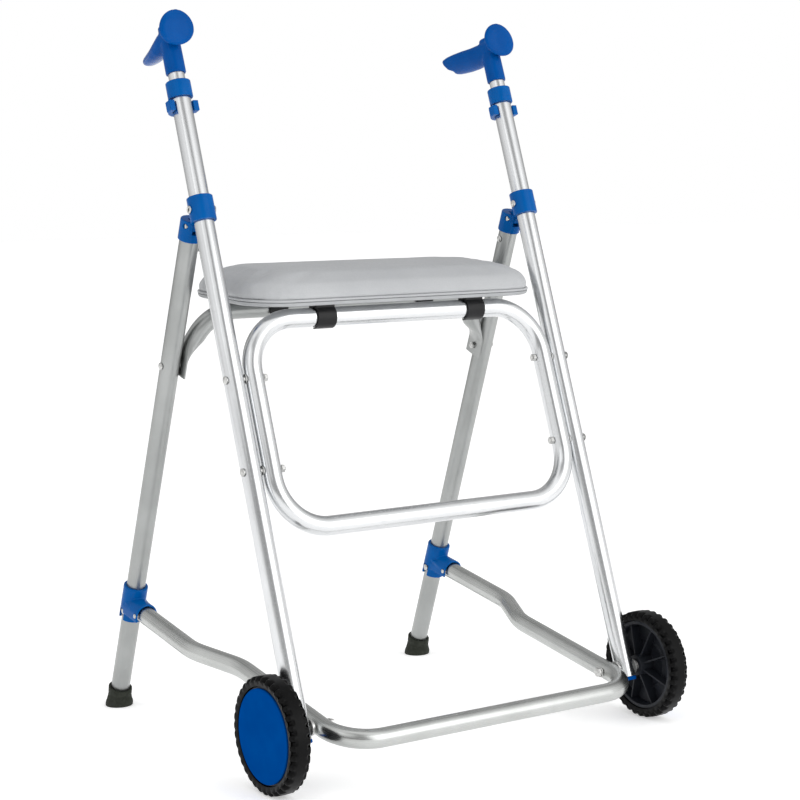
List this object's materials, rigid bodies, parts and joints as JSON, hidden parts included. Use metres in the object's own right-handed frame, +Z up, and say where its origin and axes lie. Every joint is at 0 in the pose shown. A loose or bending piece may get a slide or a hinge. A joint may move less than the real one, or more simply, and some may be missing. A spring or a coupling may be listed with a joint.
{
  "type": "folding walking frame",
  "caption": "Folding walking frame of aluminium tube with front wheels, rubber rear feet, a padded flip-up seat and height-adjustable blue handles.",
  "frame": {"origin": "on the floor, under the middle of the bounding box", "axes": "+Z up; -Y towards the wheels at the front; +X towards the walking person's left"},
  "size_m": [0.5976, 0.5724, 0.922],
  "materials": {
    "anodised_aluminium": "satin anodised, soft reflections",
    "zinc_steel": "zinc plated, slightly dull",
    "blue_plastic": "moulded, semi-gloss",
    "black_plastic": "moulded, satin",
    "tyre_rubber": "matt ribbed tread",
    "foot_rubber": "matt, slightly dusty",
    "grey_vinyl": "soft matt coated upholstery",
    "grey_board": "plain, matt",
    "white_nylon": "plain, matt"
  },
  "bodies": {
    "main_frame": {"main_tube_left": "anodised_aluminium", "main_tube_right": "anodised_aluminium", "tube_plug_left": "blue_plastic", "tube_plug_right": "blue_plastic", "top_sleeve_left": "blue_plastic", "top_sleeve_right": "blue_plastic", "upper_clamp_left": "blue_plastic", "upper_clamp_right": "blue_plastic", "clamp_rivet_left": "zinc_steel", "clamp_rivet_right": "zinc_steel", "hinge_pin_left": "zinc_steel", "hinge_pin_right": "zinc_steel", "front_hoop": "anodised_aluminium", "hoop_bolt_lower_left": "zinc_steel", "hoop_bolt_lower_right": "zinc_steel", "hoop_bolt_upper_left": "zinc_steel", "hoop_bolt_upper_right": "zinc_steel", "axle_left": "zinc_steel", "axle_right": "zinc_steel"},
    "wheel_left": {"tyre_left": "tyre_rubber", "wheel_rim_left": "black_plastic", "wheel_cover_left": "blue_plastic", "wheel_bush_left": "white_nylon"},
    "wheel_right": {"tyre_right": "tyre_rubber", "wheel_rim_right": "black_plastic", "wheel_cover_right": "blue_plastic", "wheel_bush_right": "white_nylon"},
    "rear_frame": {"rear_leg_left": "anodised_aluminium", "rear_leg_right": "anodised_aluminium", "knuckle_left": "blue_plastic", "knuckle_right": "blue_plastic", "knuckle_rivet_left": "zinc_steel", "knuckle_rivet_right": "zinc_steel", "foot_left": "foot_rubber", "foot_right": "foot_rubber", "stop_bolt_left": "zinc_steel", "stop_bolt_right": "zinc_steel", "rear_hoop_bolt_left": "zinc_steel", "rear_hoop_bolt_right": "zinc_steel", "rear_hoop": "anodised_aluminium"},
    "collars": {"slide_collar_left": "blue_plastic", "slide_collar_right": "blue_plastic", "collar_pin_left": "zinc_steel", "collar_pin_right": "zinc_steel"},
    "base_frame": {"base_tube": "anodised_aluminium", "base_pivot_left": "zinc_steel", "base_pivot_right": "zinc_steel"},
    "seat": {"seat_board": "grey_board", "seat_pad": "grey_vinyl", "front_clip_left": "black_plastic", "front_clip_right": "black_plastic", "rear_clip_left": "black_plastic", "rear_clip_right": "black_plastic"},
    "handle_left": {"grip_left": "blue_plastic", "inner_tube_left": "anodised_aluminium"},
    "handle_right": {"grip_right": "blue_plastic", "inner_tube_right": "anodised_aluminium"},
    "height_clip_left_body": {"height_clip_left": "blue_plastic"},
    "height_clip_right_body": {"height_clip_right": "blue_plastic"}
  },
  "joints": [
    {"name": "fold", "type": "hinge", "parent": "main_frame", "child": "rear_frame", "pos_m": [0, 0.0109, 0.6559], "axis": [-1, 0, 0], "range_deg": [0, 28]},
    {"name": "collar_slide", "type": "slide", "parent": "rear_frame", "child": "collars", "axis": [0, -0.3608, 0.9326], "range_m": [0, 0.311]},
    {"name": "base_swing", "type": "hinge", "parent": "collars", "child": "base_frame", "pos_m": [0, 0.1756, 0.1409], "axis": [1, 0, 0], "range_deg": [0, 84]},
    {"name": "seat_flip", "type": "hinge", "parent": "main_frame", "child": "seat", "pos_m": [0, -0.0589, 0.5401], "axis": [1, 0, 0], "range_deg": [0, 71]},
    {"name": "wheel_spin_left", "type": "hinge", "parent": "main_frame", "child": "wheel_left", "pos_m": [0.2848, -0.2162, 0.07], "axis": [1, 0, 0], "continuous": true},
    {"name": "wheel_spin_right", "type": "hinge", "parent": "main_frame", "child": "wheel_right", "pos_m": [-0.2848, -0.2162, 0.07], "axis": [1, 0, 0], "continuous": true},
    {"name": "handle_height_left", "type": "slide", "parent": "main_frame", "child": "handle_left", "axis": [0, 0.3231, 0.9464], "range_m": [0, 0.1]},
    {"name": "handle_height_right", "type": "slide", "parent": "main_frame", "child": "handle_right", "axis": [0, 0.3231, 0.9464], "range_m": [0, 0.1]},
    {"name": "clip_pull_left", "type": "slide", "parent": "main_frame", "child": "height_clip_left_body", "axis": [0, 0.9464, -0.3231], "range_m": [0, 0.012]},
    {"name": "clip_pull_right", "type": "slide", "parent": "main_frame", "child": "height_clip_right_body", "axis": [0, 0.9464, -0.3231], "range_m": [0, 0.012]}
  ],
  "couplings": [
    {"joint": "collar_slide", "follows": "fold", "m_per_rad": 0.6335},
    {"joint": "base_swing", "follows": "fold", "ratio": 2.96},
    {"joint": "seat_flip", "follows": "fold", "ratio": 2.5}
  ]
}
